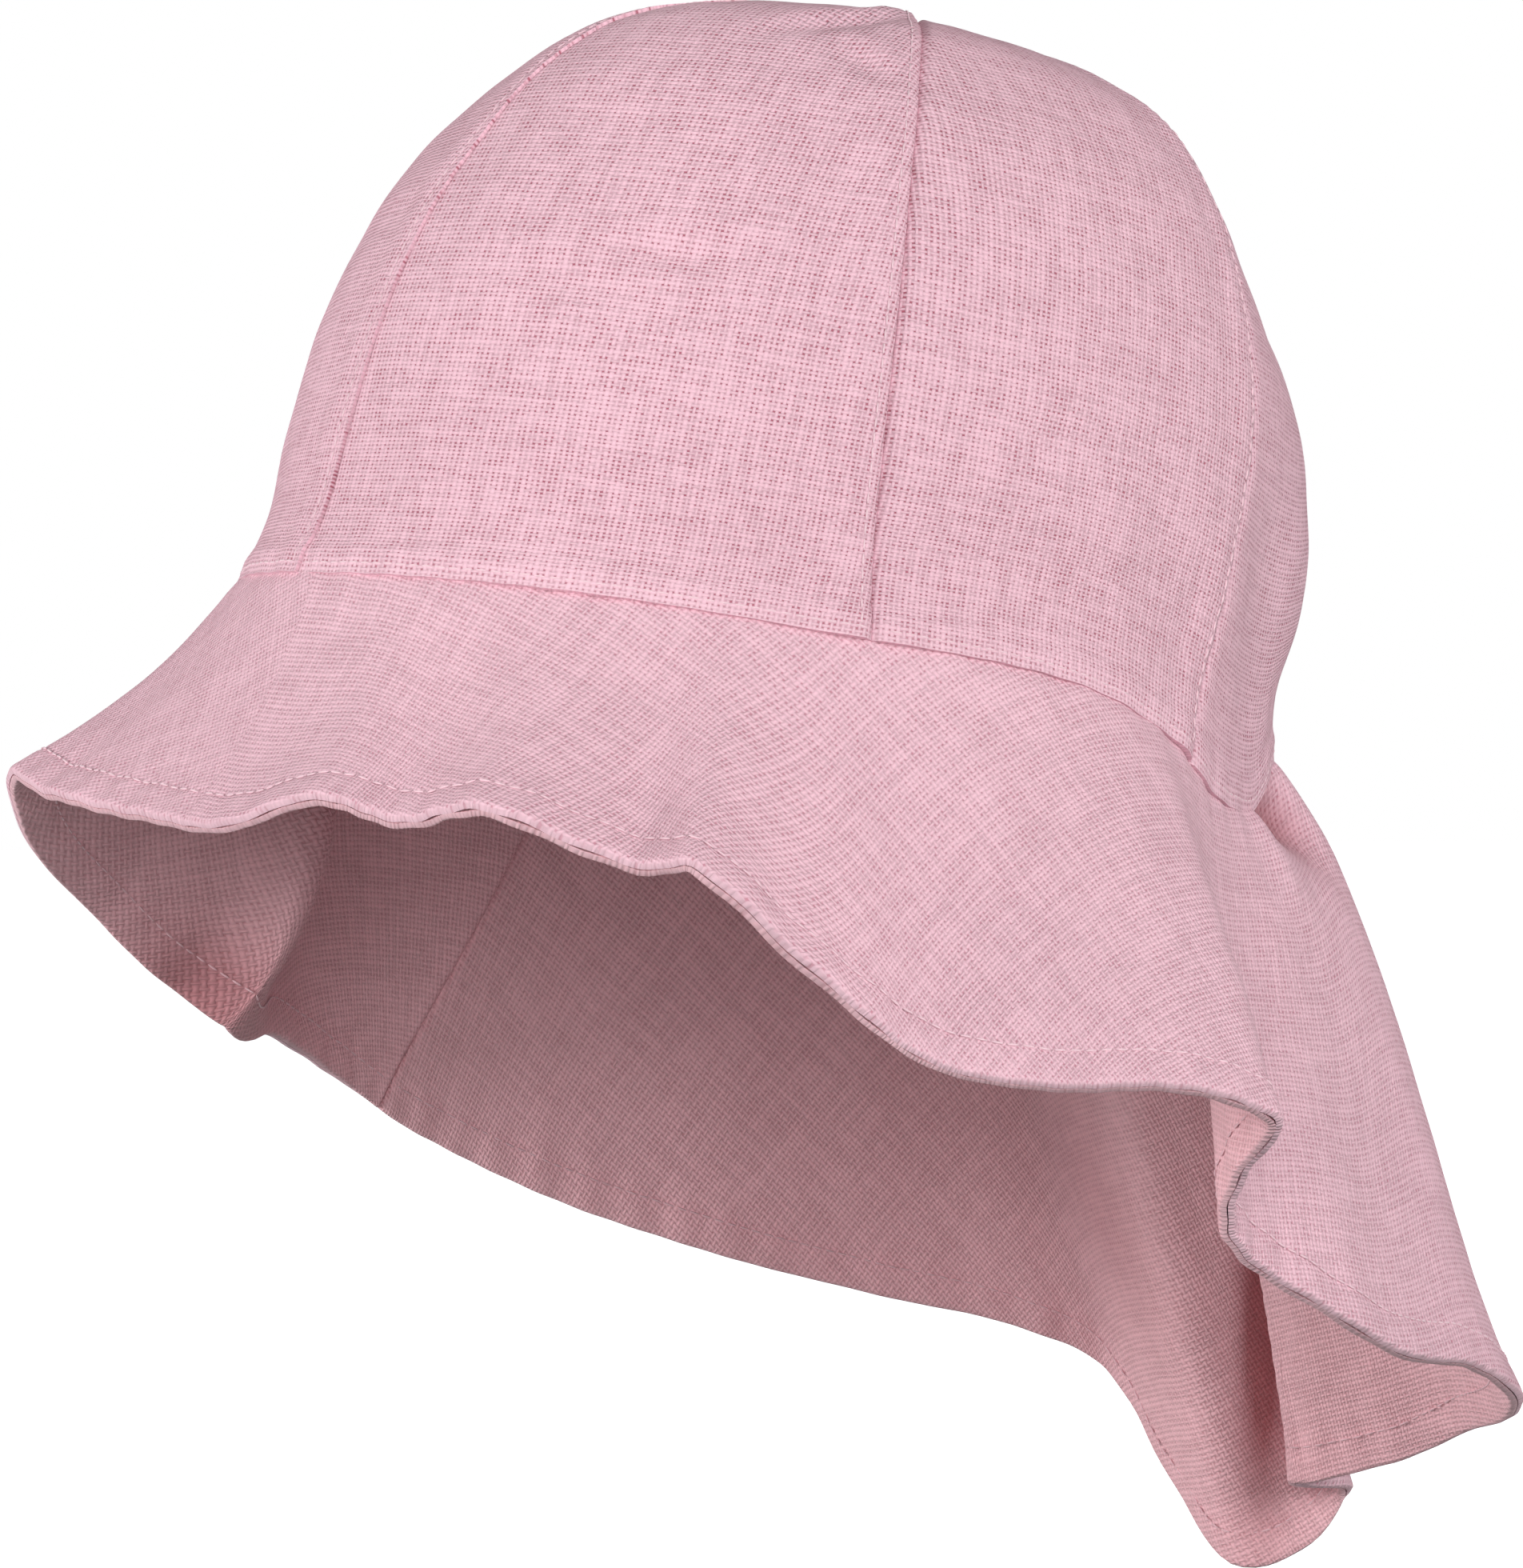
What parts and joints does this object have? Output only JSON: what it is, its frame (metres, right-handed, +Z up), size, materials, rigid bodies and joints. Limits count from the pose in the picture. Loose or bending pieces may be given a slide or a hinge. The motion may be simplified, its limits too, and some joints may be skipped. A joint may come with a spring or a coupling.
{
  "type": "sun hat",
  "caption": "Toddler's soft linen sun hat: panelled dome crown, brim short at the front and long over the nape.",
  "frame": {"origin": "middle of the crown's rim, where the hat sits on the head", "axes": "+Z up through a level head, the wearer facing -Y, the wearer's left at +X"},
  "size_m": [0.2201, 0.2541, 0.2525],
  "materials": {
    "crown_linen": "plain-weave washed linen",
    "brim_linen": "plain-weave washed linen",
    "brim_facing_linen": "plain-weave washed linen"
  },
  "bodies": {
    "root": {"crown_panel_front_left": "crown_linen", "crown_panel_side_left": "crown_linen", "crown_panel_back_left": "crown_linen", "crown_panel_back_right": "crown_linen", "crown_panel_side_right": "crown_linen", "crown_panel_front_right": "crown_linen", "brim_upper": "brim_linen", "brim_under": "brim_facing_linen"}
  },
  "joints": []
}
